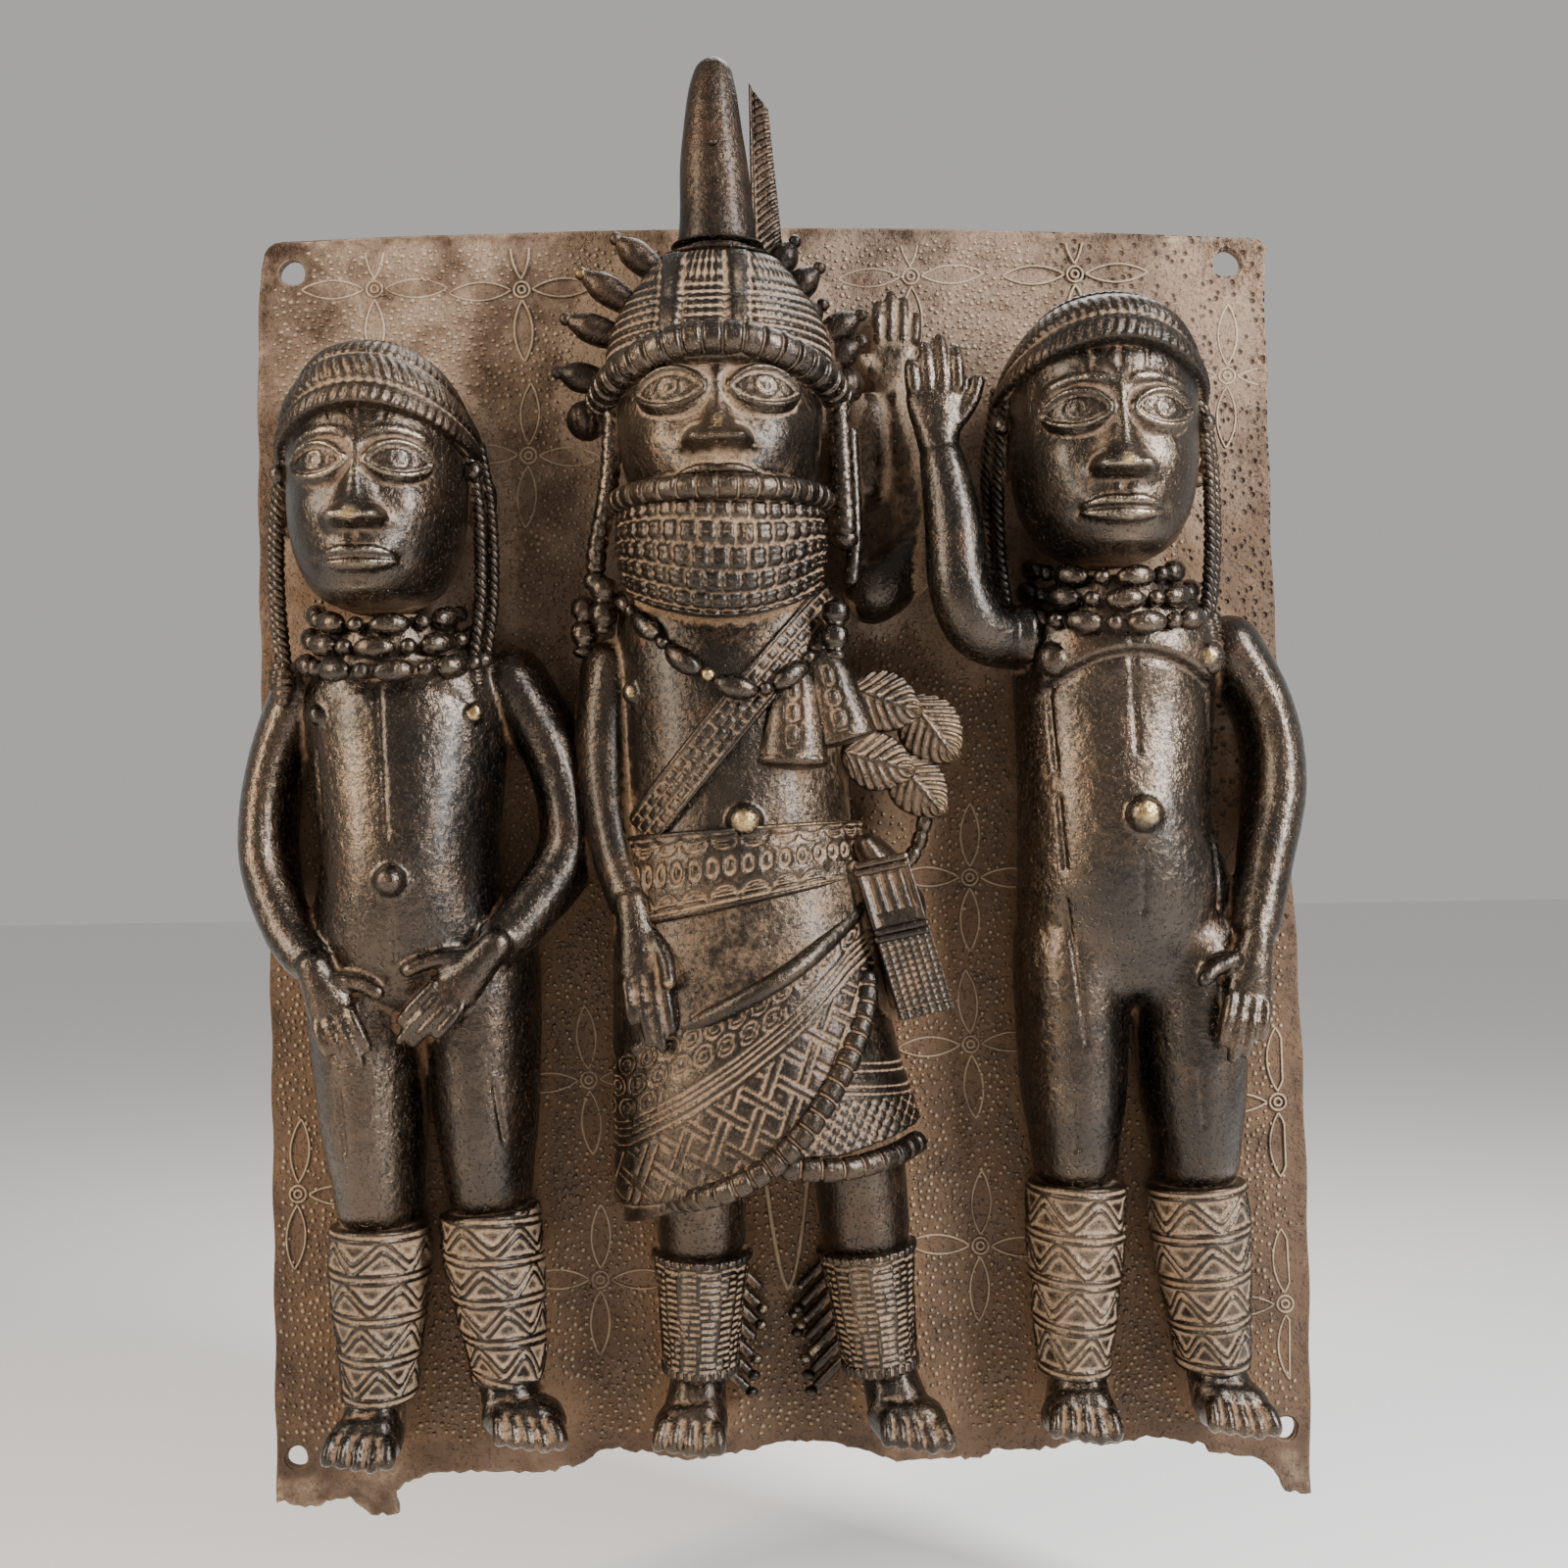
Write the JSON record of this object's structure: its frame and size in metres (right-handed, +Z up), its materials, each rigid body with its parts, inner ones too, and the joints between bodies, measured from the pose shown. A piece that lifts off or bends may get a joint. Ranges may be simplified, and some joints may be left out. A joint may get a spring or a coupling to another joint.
{
  "type": "relief plaque",
  "caption": "Cast metal wall plaque with court figures in high relief on a patterned ground, pierced near its corners for nailing to a wall.",
  "frame": {"origin": "on the flat back of the plate, midway between its sides and near mid height", "axes": "+Z up the plaque, +X to the viewer's right, +Y out of the back into the wall, so the figures face -Y"},
  "size_m": [0.3989, 0.081, 0.541],
  "materials": {
    "bronze": "dark brown patina on a pitted casting, brassy on worn high points, with red-brown and pale dust in the recesses"
  },
  "bodies": {
    "root": {"plaque": "bronze"}
  },
  "joints": []
}
